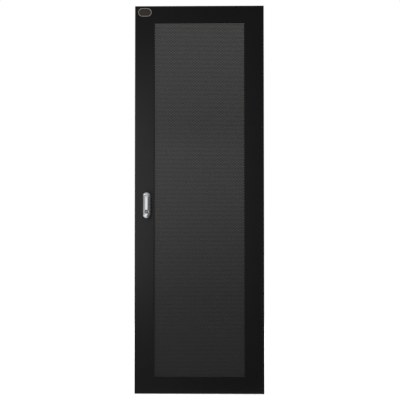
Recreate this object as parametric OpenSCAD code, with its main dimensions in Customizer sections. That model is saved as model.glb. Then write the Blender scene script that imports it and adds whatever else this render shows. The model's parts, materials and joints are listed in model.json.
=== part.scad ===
// Perforated door for a 600 mm wide equipment rack.
// Seen from the front: lock on the left, hinges on the right.
// X runs to the right, Y to the rear and Z up. The origin is the shoulder of the lower
// hinge pin, on the hinge axis.

/* [Leaf] */
// Width of the door
door_w = 600; // [450:5:800]
// Height of the door
door_h = 1800; // [1200:10:2200]
// Depth of the folded edge, front face to back of the lip
door_depth = 25; // [22:1:40]
// Thickness of the leaf's sheet steel
sheet_t = 1.5; // [1:0.1:2]
// Outside radius of every fold
bend_r = 2.5; // [2.2:0.1:4]
// Width of the lip folded in at the back edge
lip_w = 12; // [8:1:20]

/* [Window] */
// Width of the solid sheet left and right of the window
stile_w = 90; // [84:1:120]
// Height of the solid sheet above the window
top_rail = 77; // [60:1:150]
// Height of the solid sheet below the window
bottom_rail = 74; // [60:1:150]
// Depth at which the perforated sheet lies behind the front face
window_depth = 10; // [7:0.5:14]
// Width of the lip that the perforated sheet is welded to
window_lip = 12; // [6:1:16]

/* [Perforated sheet] */
// Thickness of the perforated sheet
panel_t = 1.2; // [0.8:0.1:2]
// Cover of the perforated sheet on the window's lip
panel_cover = 10; // [4:1:16]
// Spacing of the hexagonal holes along a row
hole_pitch = 42; // [30:1:80]
// Width of the web between two holes
web_w = 6; // [2:0.5:12]

/* [Blank badge] */
// Width of the blank oval badge
badge_w = 62; // [30:1:80]
// Height of the blank oval badge
badge_h = 38; // [20:1:46]
// Thickness of the badge
badge_t = 1.6; // [1:0.1:3]
// Width of the badge's raised rim
badge_rim = 2.5; // [1:0.5:5]
// Distance of the badge's centre from the lock-side edge
badge_inset = 46; // [40:1:50]
// Distance of the badge's centre below the top edge
badge_drop = 30; // [26:1:40]

/* [Hinges] */
// Distance of the hinge axis from the hinge-side edge
hinge_inset = 12; // [11:0.5:14]
// Distance of the hinge axis behind the front face
hinge_depth = 12.5; // [11:0.5:13]
// Diameter of both hinge pins
pin_d = 8; // [6:0.5:9]
// Free length of both hinge pins
pin_free = 14; // [10:1:20]
// Height of the lower pin's shoulder above the bottom edge
lower_hinge_h = 60; // [40:1:120]
// Distance of the upper bracket's top face below the top edge
upper_hinge_drop = 60; // [40:1:120]
// Diameter of the sprung upper pin's shank
shank_d = 9; // [7:0.5:10]
// Travel of the sprung upper pin
pin_travel = 14; // [10:1:16]
// Thickness of the bracket ears
ear_t = 4; // [3:0.5:6]
// Height of the upper bracket between its ears
bracket_gap = 52; // [48:1:70]
// Height of the cut-out in the folded edge at each hinge
notch_h = 36; // [24:1:60]
// Wire diameter of the hinge spring
wire_d = 1.2; // [0.8:0.1:1.6]
// Number of turns of the hinge spring
spring_turns = 7; // [5:1:9]

/* [Lock handle] */
// Distance of the lock's axis from the lock-side edge
lock_inset = 56; // [50:1:60]
// Height of the lock's axis above the bottom edge
lock_h = 913; // [600:1:1400]
// Width of the lock housing
handle_w = 32; // [30:1:36]
// Length of the lock housing
handle_len = 118; // [112:1:140]
// Thickness of the lock housing in front of the leaf
housing_t = 5; // [4:0.5:8]
// How far the lever stands in front of the housing
lever_rise = 19; // [18:0.5:24]
// Width of the lever's flat front facet
facet_w = 10; // [6:0.5:14]
// Drop of the crowned bevels beside the facet
bevel_drop = 6; // [4:0.5:7]
// Diameter of the key cylinder's flange
cylinder_d = 18; // [16:0.5:20]
// Distance of the key cylinder below the lock's axis
cylinder_drop = 73; // [66:1:78]
// Angle that the lever lifts
lift_angle = 35; // [20:1:45]

/* [Rod drive] */
// Module of the pinion and racks
gear_module = 1.5; // [1.2:0.1:1.6]
// Teeth on the pinion
pinion_teeth = 12; // [12:2:14]
// Face width of the pinion
pinion_face = 9; // [6:1:9]
// Width of the locking rods, front to back
rod_deep = 10; // [8:1:10]
// Back of the rods behind the pitch line
rod_back = 5; // [4:0.5:6]
// Side of the square spindle
spindle_side = 8; // [6:0.5:9]
// Distance from the rod's end to the leaf's end
rod_end_gap = 34; // [30:1:80]
// Diameter of the rollers on the rods
roller_d = 14; // [11:1:15]
// Thickness of the rollers
roller_t = 5; // [4:1:8]
// Reach of the middle latch from the lock's axis
latch_reach = 46; // [36:1:48]

/* [Fits] */
// Gap between parts that slide past each other
slide_gap = 0.3; // [0.25:0.05:0.4]
// Gap all round a turning shaft
shaft_gap = 0.06; // [0.04:0.01:0.09]

/* [Hidden] */

// colours of the finishes
paint = "#26272a";
zinc_plate = "#b9bcc0";
satin_chrome = "#c9cbce";
nickel = "#aeb6bd";
black_nickel = "#4a5157";
brass = "#c2a255";
nylon = "#1b1b1c";
spring_steel = "#8d9094";
champagne = "#b5a88c";

over = 1; // how far a cutter passes a face
$fn = 96;

// places, with Y measured from the front face inside on_front()
door_bottom = -lower_hinge_h;
door_top = door_bottom + door_h;
door_left = hinge_inset - door_w;
leaf_x = hinge_inset - door_w / 2;
leaf_z = door_bottom + door_h / 2;
window_w = door_w - 2 * stile_w;
window_h = door_h - top_rail - bottom_rail;
window_shift = (bottom_rail - top_rail) / 2;
lock_x = door_left + lock_inset;
lock_z = door_bottom + lock_h;

// depths in the lock, measured from the front face
cap_r = handle_w / 2;
axis_drop = cap_r;
lever_half = handle_w / 2 - 0.5;
lever_back = -housing_t - 0.6;
lever_front = -housing_t - lever_rise;
lever_shoulder = lever_front + bevel_drop;
bevel_steps = 6;
bevel_sweep = 70;
lever_wall = 6;
housing_edge = 1.2;
// foot of the handle: the centre of its lower round end
handle_foot = 2 * cap_r - handle_len;
knuckle_r = 6.5;
knuckle_fall = 5;
hub_front = -housing_t - 4;
lever_pin_y = hub_front - slide_gap - knuckle_r;
lever_pin_z = -3;
lever_pin_r = 2;
cap_z = lever_pin_z + knuckle_r + 0.6;
lever_end = handle_foot - lever_half;
lug_half = 6;
lug_r = 5;
neck_r = 8;

barrel_r = cylinder_d / 2 - 2;
barrel_front = lever_front + 0.6;
flange_t = 1.5;
plug_r = barrel_r - 1.7;
pocket_front = -housing_t - 6;
tongue_t = 2;
tongue_back = -housing_t - 1.6;
tongue_w = 5;
tongue_len = 11;
tongue_screw_r = 1;
keyway_w = 1.4;
keeper_neck_r = 1.5;
keeper_head_r = 3;
keeper_x = -8;
keeper_z = -cylinder_drop - tongue_w / 2 - slide_gap - keeper_neck_r;
pocket_r = 13.6;

// rod drive
pitch_r = gear_module * pinion_teeth / 2;
pressure_angle = 25;
tooth_play = 0.2;
rod_near = pitch_r - gear_module;
rod_far = pitch_r + rod_back;
rod_w = rod_far - rod_near;
rod_mid = (rod_near + rod_far) / 2;
gear_front = sheet_t + 6.5;
rod_front = gear_front;
rod_rear = rod_front + rod_deep;
rod_travel = pitch_r * PI / 2;
rod_tail = 8;
box_half_w = rod_far + slide_gap + 3;
box_half_h = rod_tail + rod_travel + 4;
box_inner_h = rod_tail + rod_travel + 1;
box_floor = gear_front - 0.5;
box_back = rod_rear + 0.5;
box_cover_t = 2;
box_corner_r = 3;
clamp_t = 4;
// the housing covers the cut-out in the leaf by this much all round
cutout_cover = 5;
cutout_half_w = cap_r - cutout_cover;
cutout_top = cap_r - 1.3 * cutout_cover;
cutout_bottom = axis_drop - handle_len + 1.4 * cutout_cover;
clamp_lap = 4;
clamp_half_w = cutout_half_w + clamp_lap;
clamp_bottom = cutout_bottom - clamp_lap;
clamp_screw_r = 2;
clamp_screw_gap = 9;
clamp_screw_z = [-box_half_h - 2 * clamp_screw_gap, cutout_bottom + clamp_screw_gap];
cover_screw_r = 1.2;
cover_screw_edge = 1.5;
cover_screw_places = [
    [0, box_half_h - cover_screw_edge], [0, cover_screw_edge - box_half_h],
    [box_half_w - cover_screw_edge, 0], [cover_screw_edge - box_half_w, 0]
];
latch_front = max(door_depth, box_back + box_cover_t) + 1;
latch_t = 3;
latch_half_w = 9;
latch_screw_r = 2.5;
spindle_back = latch_front + latch_t - 0.2;

rod_top = door_top - lock_z - rod_end_gap;
rod_bottom = door_bottom - lock_z + rod_end_gap;
guide_h = 16;
guide_far_gap = 46;
guide_wall = 3;
guide_foot = 16;
guide_stud_r = 2.5;
guide_near = 210;
guide_nut_af = 8;
guide_nut_t = 4;
guide_chamfer = 1.5;
axle_r = 2.5;
axle_drop = 8;
axle_head_t = 1.2;
rod_axle_y = (rod_front + rod_rear) / 2;

// hinges
pin_r = pin_d / 2;
pin_chamfer = 1;
upper_ear_top = door_top - upper_hinge_drop;
bracket_left = -14;
bracket_right = hinge_inset - bend_r - 0.2;
bracket_web_t = 3;
bracket_bend = bracket_web_t + 1;
bracket_back = hinge_depth + 8;
ear_chamfer = 5;
notch_clear = 5;
notch_shift = 2;
shank_r = shank_d / 2;
collar_r = pin_r + 2;
collar_t = 2.5;
clip_t = 1.6;
groove_t = 0.6;
clip_z = upper_ear_top - ear_t - slide_gap - clip_t;
lower_ear_z = upper_ear_top - 2 * ear_t - bracket_gap;
lower_bracket_h = 42;
spring_r = shank_r + 0.6 + wire_d / 2;
spring_sides = 8;
spring_steps = 16;
lever_drop = 9;
knob_len = 30;

// earth stud and buffers
earth_r = 3;
earth_h = 150;
buffer_r = 5;
buffer_t = 4;
buffer_chamfer = 1;
buffer_count = 4;
buffer_margin = 140;

// ---- helpers -------------------------------------------------------------

// moves its children to a place on the leaf; Y = 0 is the front face there
module on_front(x, z) {
    translate([x, -hinge_depth, z]) children();
}

module at_lock() {
    on_front(lock_x, lock_z) children();
}

// extrudes an outline drawn in X and Z from depth y0 to depth y1
module plate(y0, y1) {
    translate([0, y1, 0]) rotate([90, 0, 0]) linear_extrude(height = y1 - y0) children();
}

// extrudes a side view drawn in Y and Z along X
module slab(x0, x1) {
    translate([x0, 0, 0]) rotate([90, 0, 90]) linear_extrude(height = x1 - x0) children();
}

module rod_y(r, y0, y1) {
    translate([0, y0, 0]) rotate([-90, 0, 0]) cylinder(r = r, h = y1 - y0);
}

module rod_x(r, x0, x1) {
    translate([x0, 0, 0]) rotate([0, 90, 0]) cylinder(r = r, h = x1 - x0);
}

module box(x0, x1, y0, y1, z0, z1) {
    translate([x0, y0, z0]) cube([x1 - x0, y1 - y0, z1 - z0]);
}

module hex_prism(across_flats, y0, y1) {
    translate([0, y0, 0]) rotate([-90, 0, 0])
        cylinder(r = across_flats / sqrt(3), h = y1 - y0, $fn = 6);
}

// ---- leaf ----------------------------------------------------------------

module quarter_bend() {
    intersection() {
        difference() {
            circle(r = bend_r);
            circle(r = bend_r - sheet_t);
        }
        translate([-bend_r, -bend_r]) square(bend_r);
    }
}

// section of a folded edge: skin, wall and lip; drawn as depth across, inset up
module fold_section(depth, lip) {
    translate([0, bend_r]) square([sheet_t, over]);
    translate([bend_r, bend_r]) quarter_bend();
    translate([bend_r, 0]) square([depth - 2 * bend_r, sheet_t]);
    translate([depth - bend_r, bend_r]) mirror([1, 0]) quarter_bend();
    translate([depth - sheet_t, bend_r]) square([sheet_t, lip - bend_r]);
}

// one side of a folded frame, mitred at both ends; flare is -1 inwards, 1 outwards
module fold_side(length, depth, lip, flare) {
    reach = lip + over;
    intersection() {
        slab(-length / 2 - reach, length / 2 + reach) fold_section(depth, lip);
        plate(-over, depth + over) polygon([
            [-length / 2 + flare * over, -over],
            [length / 2 - flare * over, -over],
            [length / 2 + flare * reach, reach],
            [-length / 2 - flare * reach, reach]
        ]);
    }
}

// folds the four edges of a sheet inwards
module folded_rim(w, h, depth, lip) {
    for (side = [0:3])
        rotate([0, 90 * side, 0])
            translate([0, 0, -(side % 2 == 0 ? h : w) / 2])
                fold_side(side % 2 == 0 ? w : h, depth, lip, -1);
}

// folds the four edges of a window back and outwards
module folded_window(w, h, depth, lip) {
    for (side = [0:3])
        rotate([0, 90 * side, 0])
            translate([0, 0, -(side % 2 == 0 ? h : w) / 2])
                mirror([0, 0, 1])
                    fold_side(side % 2 == 0 ? w : h, depth, lip, 1);
}

module leaf_skin() {
    plate(0, sheet_t) difference() {
        square([door_w - 2 * bend_r, door_h - 2 * bend_r], center = true);
        translate([0, window_shift]) square([window_w + 2 * bend_r, window_h + 2 * bend_r], center = true);
    }
}

module lock_cutout(gap) {
    translate([-cutout_half_w - gap, cutout_bottom - gap])
        square([2 * (cutout_half_w + gap), cutout_top - cutout_bottom + 2 * gap]);
}

module hinge_notch(z) {
    translate([0, 0, z]) box(
        hinge_inset - lip_w - over, hinge_inset + over,
        hinge_depth - notch_clear, door_depth + over, -notch_h / 2, notch_h / 2
    );
}

module door_leaf() {
    color(paint) difference() {
        on_front(leaf_x, leaf_z) {
            leaf_skin();
            folded_rim(door_w, door_h, door_depth, lip_w);
            translate([0, 0, window_shift])
                folded_window(window_w, window_h, window_depth, window_lip);
        }
        at_lock() plate(-over, sheet_t + over) lock_cutout(slide_gap);
        on_front(0, 0) {
            hinge_notch(notch_shift - pin_free);
            hinge_notch(upper_ear_top + pin_free - notch_shift);
        }
    }
}

module perforated_sheet() {
    flats = hole_pitch - web_w;
    row_step = hole_pitch * sqrt(3) / 2;
    columns = floor((window_w - flats) / hole_pitch) + 1;
    rows = floor((window_h - flats * 2 / sqrt(3)) / row_step) + 1;
    color(paint) on_front(leaf_x, leaf_z + window_shift)
        plate(window_depth, window_depth + panel_t) difference() {
            square([window_w + 2 * panel_cover, window_h + 2 * panel_cover], center = true);
            for (row = [0:rows - 1], column = [0:columns - 1 - row % 2])
                translate([
                    (column - (columns - 1 - row % 2) / 2) * hole_pitch,
                    (row - (rows - 1) / 2) * row_step
                ]) rotate(30) circle(r = flats / sqrt(3), $fn = 6);
        }
}

// ---- badge ---------------------------------------------------------------

module oval(w, h) {
    square([w - h, h], center = true);
    for (side = [-1, 1]) translate([side * (w - h) / 2, 0]) circle(r = h / 2);
}

module blank_badge() {
    color(champagne) on_front(door_left + badge_inset, door_top - badge_drop) difference() {
        plate(-badge_t, 0) oval(badge_w, badge_h);
        plate(-badge_t - over, -badge_t / 2) oval(badge_w - 2 * badge_rim, badge_h - 2 * badge_rim);
    }
}

// ---- lock handle ---------------------------------------------------------

// a bar with round ends from a flank of [distance from the axis, depth] points, listed
// from back to front: turned about the lock's axis and the foot, and drawn out between
module round_ended(flank) {
    back = flank[0][1];
    front = flank[len(flank) - 1][1];
    for (z = [0, handle_foot]) translate([0, 0, z]) rotate([-90, 0, 0])
        rotate_extrude() polygon(concat([[0, back]], flank, [[0, front]]));
    translate([0, 0, handle_foot]) linear_extrude(height = -handle_foot) polygon(concat(
        flank, [for (i = [len(flank) - 1:-1:0]) [-flank[i][0], flank[i][1]]]
    ));
}

module lock_housing() {
    color(satin_chrome) at_lock() difference() {
        union() {
            round_ended([
                [cap_r, 0], [cap_r, housing_edge - housing_t], [cap_r - housing_edge, -housing_t]
            ]);
            plate(0, sheet_t) lock_cutout(0);
            translate([keeper_x, 0, keeper_z]) {
                rod_y(keeper_neck_r, tongue_back - tongue_t - over, -housing_t);
                rod_y(keeper_head_r, pocket_front + 0.6, tongue_back - tongue_t - slide_gap);
            }
        }
        rod_y(neck_r + shaft_gap, -housing_t - over, sheet_t + over);
        for (z = clamp_screw_z) translate([0, 0, z]) rod_y(clamp_screw_r + 0.05, -housing_t + 1.5, sheet_t + over);
    }
}

// the lever's full form: upright sides, crowned bevels and a flat front facet
module lever_form() {
    round_ended(concat(
        [[lever_half, lever_back]],
        [for (i = [0:bevel_steps])
            let (t = i / bevel_steps)
            [
                lever_half - (lever_half - facet_w / 2) * t,
                lever_shoulder - bevel_drop * sin(bevel_sweep * t) / sin(bevel_sweep)
            ]]
    ));
}

module handle_hub() {
    color(satin_chrome) at_lock() difference() {
        union() {
            rod_y(lever_half, hub_front, -housing_t - slide_gap);
            rod_y(neck_r, -housing_t - slide_gap, sheet_t);
            intersection() {
                lever_form();
                box(-cap_r, cap_r, lever_front - over, hub_front, cap_z, cap_r + over);
            }
            slab(-lug_half, lug_half) {
                translate([lever_pin_y, lever_pin_z]) circle(r = lug_r);
                translate([lever_pin_y, lever_pin_z - lug_r])
                    square([hub_front - lever_pin_y, 2 * lug_r]);
            }
        }
        translate([0, lever_pin_y, lever_pin_z])
            rod_x(lever_pin_r + shaft_gap, -lug_half - over, lug_half + over);
        box(-spindle_side / 2 - 0.05, spindle_side / 2 + 0.05, hub_front + 1, sheet_t + over,
            -spindle_side / 2 - 0.05, spindle_side / 2 + 0.05);
    }
}

// side view of the lever: round knuckle at the pin, step over the hub
module lever_side() {
    translate([lever_pin_y, lever_pin_z]) circle(r = knuckle_r);
    polygon([
        [lever_pin_y - knuckle_r, lever_pin_z], [lever_front - over, lever_pin_z - knuckle_fall],
        [lever_front - over, lever_end - over], [lever_back + over, lever_end - over],
        [lever_back + over, -cap_r - slide_gap], [hub_front - slide_gap, -cap_r - slide_gap],
        [hub_front - slide_gap, lever_pin_z]
    ]);
}

module handle_lever() {
    color(satin_chrome) at_lock() difference() {
        union() {
            intersection() {
                lever_form();
                slab(-lever_half - over, lever_half + over) lever_side();
            }
            translate([0, 0, -cylinder_drop]) rod_y(cylinder_d / 2 + 1.5, barrel_front, lever_back - over);
        }
        // slot for the hub's lug, open to the rear and the top so that the lever can lift
        translate([0, lever_pin_y, lever_pin_z]) {
            rod_x(lug_r + slide_gap, -lug_half - slide_gap, lug_half + slide_gap);
            box(-lug_half - slide_gap, lug_half + slide_gap, 0, 12, -lug_r - slide_gap, 12);
            box(-lug_half - slide_gap, lug_half + slide_gap,
                -lug_r * sin(lift_angle) - slide_gap, over, 0, 12);
            rod_x(lever_pin_r + 0.02, -cap_r, cap_r);
        }
        // hollow underside, pocket for the tongue and way out for the keeper
        box(lever_wall - lever_half, lever_half - lever_wall, lever_front + lever_wall, 0,
            pocket_r + lever_wall - cylinder_drop, -cap_r - lever_wall);
        translate([0, 0, -cylinder_drop]) {
            rod_y(barrel_r + 0.02, lever_front - over, 0);
            rod_y(cylinder_d / 2 + slide_gap, lever_front - over, barrel_front);
            rod_y(pocket_r, pocket_front, 0);
        }
        box(-cap_r - over, keeper_x, pocket_front, 0,
            keeper_z - keeper_head_r - 0.8, keeper_z + keeper_head_r + 2.6);
    }
}

module lever_pin() {
    half = lever_half - slide_gap;
    color(zinc_plate) at_lock() translate([0, lever_pin_y, lever_pin_z]) rod_x(lever_pin_r, -half, half);
}

module cylinder_barrel() {
    color(black_nickel) at_lock() translate([0, 0, -cylinder_drop]) difference() {
        union() {
            rod_y(cylinder_d / 2, barrel_front - flange_t, barrel_front);
            rod_y(barrel_r, barrel_front, pocket_front);
        }
        rod_y(plug_r + shaft_gap, barrel_front - flange_t - over, pocket_front + over);
    }
}

module key_plug() {
    tongue_front = tongue_back - tongue_t;
    color(nickel) at_lock() translate([0, 0, -cylinder_drop]) difference() {
        union() {
            rod_y(plug_r, barrel_front - flange_t - 0.2, tongue_front);
            box(-2, 2, tongue_front, tongue_back - 0.1, -2, 2);
        }
        box(-keyway_w / 2, keyway_w / 2, barrel_front - flange_t - over, barrel_front + 8,
            -plug_r * 0.7, plug_r * 0.7);
        rod_y(tongue_screw_r + 0.05, tongue_front - 2.5, tongue_back + over);
    }
}

module lock_tongue() {
    color(zinc_plate) at_lock() translate([0, 0, -cylinder_drop]) difference() {
        plate(tongue_back - tongue_t, tongue_back) {
            circle(r = tongue_w * 0.9);
            translate([-tongue_w / 2, 0]) square([tongue_w, tongue_len]);
        }
        box(-2.05, 2.05, tongue_back - tongue_t - over, tongue_back + over, -2.05, 2.05);
    }
}

module tongue_screw() {
    color(zinc_plate) at_lock() translate([0, 0, -cylinder_drop]) {
        rod_y(tongue_screw_r, tongue_back - tongue_t - 2.4, tongue_back);
        rod_y(3.4, tongue_back, tongue_back + 0.9);
    }
}

// ---- rod drive -----------------------------------------------------------

module drive_spindle() {
    half = spindle_side / 2;
    color(zinc_plate) at_lock() difference() {
        box(-half, half, hub_front + 1.1, spindle_back, -half, half);
        rod_y(latch_screw_r + 0.05, spindle_back - 10, spindle_back + over);
    }
}

// involute of the pinion's base circle at radius r: angle past the flank's start
function involute_angle(r, base_r) =
    let (roll = sqrt(max(0, pow(r / base_r, 2) - 1))) roll * 180 / PI - atan(roll);

// one flank of a tooth from root to tip as [radius, half angle] pairs
function flank(base_r, root_r, tip_r, half_pitch_angle, steps) =
    let (start = half_pitch_angle + involute_angle(pitch_r, base_r))
    concat(
        [[root_r, start]],
        [for (i = [0:steps])
            let (r = base_r + (tip_r - base_r) * i / steps) [r, start - involute_angle(r, base_r)]]
    );

module pinion_outline() {
    base_r = pitch_r * cos(pressure_angle);
    half_tooth = 90 / pinion_teeth - tooth_play / 2 / pitch_r * 180 / PI;
    side = flank(base_r, pitch_r - 1.25 * gear_module, pitch_r + gear_module, half_tooth, 4);
    count = len(side);
    polygon([
        for (tooth = [0:pinion_teeth - 1], i = [0:2 * count - 1])
            let (
                point = i < count ? side[i] : side[2 * count - 1 - i],
                turn = 360 * tooth / pinion_teeth + (i < count ? -point[1] : point[1])
            )
            point[0] * [cos(turn), sin(turn)]
    ]);
}

module rod_pinion() {
    half = spindle_side / 2 + 0.05;
    color(zinc_plate) at_lock() difference() {
        plate(gear_front, gear_front + pinion_face) pinion_outline();
        box(-half, half, gear_front - over, gear_front + pinion_face + over, -half, half);
    }
}

// gaps between the teeth of a rack that stands at -X and meshes towards +X
module rack_gaps() {
    step = PI * gear_module;
    half = step / 4 + tooth_play / 2;
    tip = gear_module * tan(pressure_angle);
    root = 1.25 * tip;
    for (i = [-1:5]) translate([-pitch_r, i * step]) polygon([
        [-1.25 * gear_module, root - half], [-1.25 * gear_module, half - root],
        [gear_module + over, half + tip + over * tan(pressure_angle)],
        [gear_module + over, -half - tip - over * tan(pressure_angle)]
    ]);
}

// a rod at the left of the pinion that runs upwards to z = top
module rod_body(top) {
    difference() {
        box(-rod_far, -rod_near, rod_front, rod_rear, -rod_tail, top);
        plate(rod_front - over, rod_rear + over) rack_gaps();
        translate([0, rod_axle_y, top - axle_drop]) rod_x(axle_r + 0.02, -rod_far - over, -rod_near + over);
    }
}

module roller_body(top) {
    translate([0, rod_axle_y, top - axle_drop]) difference() {
        rod_x(roller_d / 2, -rod_far - slide_gap - roller_t, -rod_far - slide_gap);
        rod_x(axle_r + shaft_gap, -rod_far - roller_t - 2 * over, -rod_far + over);
    }
}

module axle_body(top) {
    outer = -rod_far - 2 * slide_gap - roller_t;
    translate([0, rod_axle_y, top - axle_drop]) {
        rod_x(axle_r, outer, -rod_near);
        rod_x(axle_r + 1.5, outer - axle_head_t, outer);
        rod_x(axle_r + 1.5, -rod_near, -rod_near + axle_head_t);
    }
}

module upper_rod() {
    color(zinc_plate) at_lock() rod_body(rod_top);
}

module lower_rod() {
    color(zinc_plate) at_lock() rotate([0, 180, 0]) rod_body(-rod_bottom);
}

module upper_roller() {
    color(nylon) at_lock() roller_body(rod_top);
}

module lower_roller() {
    color(nylon) at_lock() rotate([0, 180, 0]) roller_body(-rod_bottom);
}

module upper_roller_axle() {
    color(zinc_plate) at_lock() axle_body(rod_top);
}

module lower_roller_axle() {
    color(zinc_plate) at_lock() rotate([0, 180, 0]) axle_body(-rod_bottom);
}

module box_outline() {
    straight_w = box_half_w - box_corner_r;
    straight_h = box_half_h - box_corner_r;
    square([2 * straight_w, 2 * box_half_h], center = true);
    square([2 * box_half_w, 2 * straight_h], center = true);
    for (x = [-straight_w, straight_w], z = [-straight_h, straight_h])
        translate([x, z]) circle(r = box_corner_r);
}

module gearbox_body() {
    cavity_w = rod_far + slide_gap;
    color(zinc_plate) at_lock() difference() {
        union() {
            plate(sheet_t, box_back) box_outline();
            plate(sheet_t, sheet_t + clamp_t) {
                translate([-clamp_half_w, clamp_bottom + clamp_half_w])
                    square([2 * clamp_half_w, -clamp_bottom - clamp_half_w - box_half_h + box_corner_r]);
                translate([0, clamp_bottom + clamp_half_w]) circle(r = clamp_half_w);
            }
        }
        box(-cavity_w, cavity_w, box_floor, box_back + over, -box_inner_h, box_inner_h);
        box(-cavity_w, -rod_near + slide_gap, box_floor, box_back + over, 0, box_half_h + over);
        box(rod_near - slide_gap, cavity_w, box_floor, box_back + over, -box_half_h - over, 0);
        rod_y(spindle_side * 0.75, 0, box_back);
        for (z = clamp_screw_z) translate([0, 0, z]) rod_y(clamp_screw_r + 0.05, 0, box_back);
        for (place = cover_screw_places) translate([place[0], 0, place[1]])
            rod_y(cover_screw_r + 0.05, box_back - 6, box_back + over);
    }
}

module gearbox_cover() {
    color(zinc_plate) at_lock() difference() {
        plate(box_back, box_back + box_cover_t) box_outline();
        rod_y(spindle_side * 0.75, box_back - over, box_back + box_cover_t + over);
        for (place = cover_screw_places) translate([place[0], 0, place[1]])
            rod_y(cover_screw_r + 0.05, box_back - over, box_back + box_cover_t + over);
    }
}

module gearbox_screws() {
    color(zinc_plate) at_lock() for (place = cover_screw_places) translate([place[0], 0, place[1]]) {
        rod_y(cover_screw_r, box_back - 5, box_back + box_cover_t);
        rod_y(2 * cover_screw_r, box_back + box_cover_t, box_back + box_cover_t + 1.4);
    }
}

module clamp_screws() {
    color(zinc_plate) at_lock() for (z = clamp_screw_z) translate([0, 0, z]) {
        rod_y(clamp_screw_r, -housing_t + 2, sheet_t + clamp_t);
        difference() {
            rod_y(1.8 * clamp_screw_r, sheet_t + clamp_t, sheet_t + clamp_t + 3);
            hex_prism(clamp_screw_r * 1.5, sheet_t + clamp_t + 1, sheet_t + clamp_t + 4);
        }
    }
}

module latch_spacer() {
    color(zinc_plate) at_lock() difference() {
        rod_y(spindle_side, box_back + box_cover_t + slide_gap, latch_front);
        rod_y(spindle_side * 0.72, box_back, latch_front + over);
    }
}

module middle_latch() {
    half = spindle_side / 2 + 0.05;
    color(zinc_plate) at_lock() difference() {
        plate(latch_front, latch_front + latch_t) {
            circle(r = latch_half_w);
            translate([-latch_reach + 4, -latch_half_w]) square([latch_reach - 4, 2 * latch_half_w]);
            translate([-latch_reach + 4, 4 - latch_half_w]) square([8, 2 * latch_half_w - 8], center = false);
            for (side = [-1, 1]) translate([-latch_reach + 4, side * (latch_half_w - 4)]) circle(r = 4);
        }
        box(-half, half, latch_front - over, latch_front + latch_t + over, -half, half);
    }
}

module latch_screw() {
    head = latch_front + latch_t;
    color(zinc_plate) at_lock() {
        rod_y(latch_screw_r, spindle_back - 9, head);
        rod_y(spindle_side * 0.9, head, head + 1.4);
        hex_prism(8, head + 1.4, head + 5);
    }
}

// ---- rod guides ----------------------------------------------------------

// left face of the block that guides a rod; side is -1 for the upper rod, 1 for the lower
function guide_left(side) = side * rod_mid - rod_w / 2 - slide_gap - guide_wall;

module rod_guide(side, z) {
    left = guide_left(side);
    right = left + rod_w + 2 * (slide_gap + guide_wall);
    foot_back = sheet_t + guide_wall;
    back = rod_rear + slide_gap + guide_wall;
    color(nylon) at_lock() translate([0, 0, z]) difference() {
        translate([0, 0, -guide_h / 2]) linear_extrude(height = guide_h) polygon([
            [left - guide_foot, sheet_t], [right, sheet_t],
            [right, back - guide_chamfer], [right - guide_chamfer, back],
            [left + guide_chamfer, back], [left, back - guide_chamfer],
            [left, foot_back + 2 * guide_chamfer], [left - 2 * guide_chamfer, foot_back],
            [left - guide_foot, foot_back]
        ]);
        box(left + guide_wall, right - guide_wall, rod_front - slide_gap, rod_rear + slide_gap,
            -guide_h, guide_h);
        translate([left - guide_foot / 2, 0, 0])
            rod_y(guide_stud_r + 0.1, 0, foot_back + over);
    }
}

guide_places = [
    [-1, guide_near], [-1, rod_top - guide_far_gap],
    [1, -guide_near], [1, rod_bottom + guide_far_gap]
];

module upper_rod_guide_near() {
    rod_guide(-1, guide_places[0][1]);
}

module upper_rod_guide_far() {
    rod_guide(-1, guide_places[1][1]);
}

module lower_rod_guide_near() {
    rod_guide(1, guide_places[2][1]);
}

module lower_rod_guide_far() {
    rod_guide(1, guide_places[3][1]);
}

module at_guide_studs() {
    at_lock() for (place = guide_places)
        translate([guide_left(place[0]) - guide_foot / 2, 0, place[1]]) children();
}

module guide_studs() {
    color(zinc_plate) at_guide_studs()
        rod_y(guide_stud_r, sheet_t, sheet_t + guide_wall + guide_nut_t + 1.5);
}

module guide_nuts() {
    nut_front = sheet_t + guide_wall;
    color(zinc_plate) at_guide_studs() difference() {
        hex_prism(guide_nut_af, nut_front, nut_front + guide_nut_t);
        rod_y(guide_stud_r + 0.05, nut_front - over, nut_front + guide_nut_t + over);
    }
}

// ---- hinges --------------------------------------------------------------

// a rectangle that runs back from depth y, round at its two front corners of radius r
module bent_outline(y, z0, z1, r) {
    for (z = [z0 + r, z1 - r]) translate([y + r, z]) circle(r = r);
    translate([y, z0 + r]) square([r, z1 - z0 - 2 * r]);
    translate([y + r, z0]) square([bracket_back + over - y - r, z1 - z0]);
}

// a bracket from z0 to z1: a web on the leaf and an ear at each end
module bent_bracket(z0, z1) {
    intersection() {
        slab(bracket_left, bracket_right) difference() {
            bent_outline(sheet_t, z0, z1, bracket_bend);
            bent_outline(sheet_t + bracket_web_t, z0 + ear_t, z1 - ear_t, bracket_bend - bracket_web_t);
        }
        translate([0, 0, z0 - over]) linear_extrude(height = z1 - z0 + 2 * over) polygon([
            [bracket_left, 0], [bracket_right, 0],
            [bracket_right, bracket_back - ear_chamfer], [bracket_right - ear_chamfer, bracket_back],
            [bracket_left + ear_chamfer, bracket_back], [bracket_left, bracket_back - ear_chamfer]
        ]);
    }
}

module ear_bore(r, z) {
    translate([0, hinge_depth, z - over]) cylinder(r = r, h = ear_t + 2 * over);
}

module upper_hinge_bracket() {
    color(zinc_plate) on_front(0, 0) difference() {
        bent_bracket(lower_ear_z, upper_ear_top);
        ear_bore(shank_r + shaft_gap, upper_ear_top - ear_t);
        ear_bore(shank_r + shaft_gap, lower_ear_z);
    }
}

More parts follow.
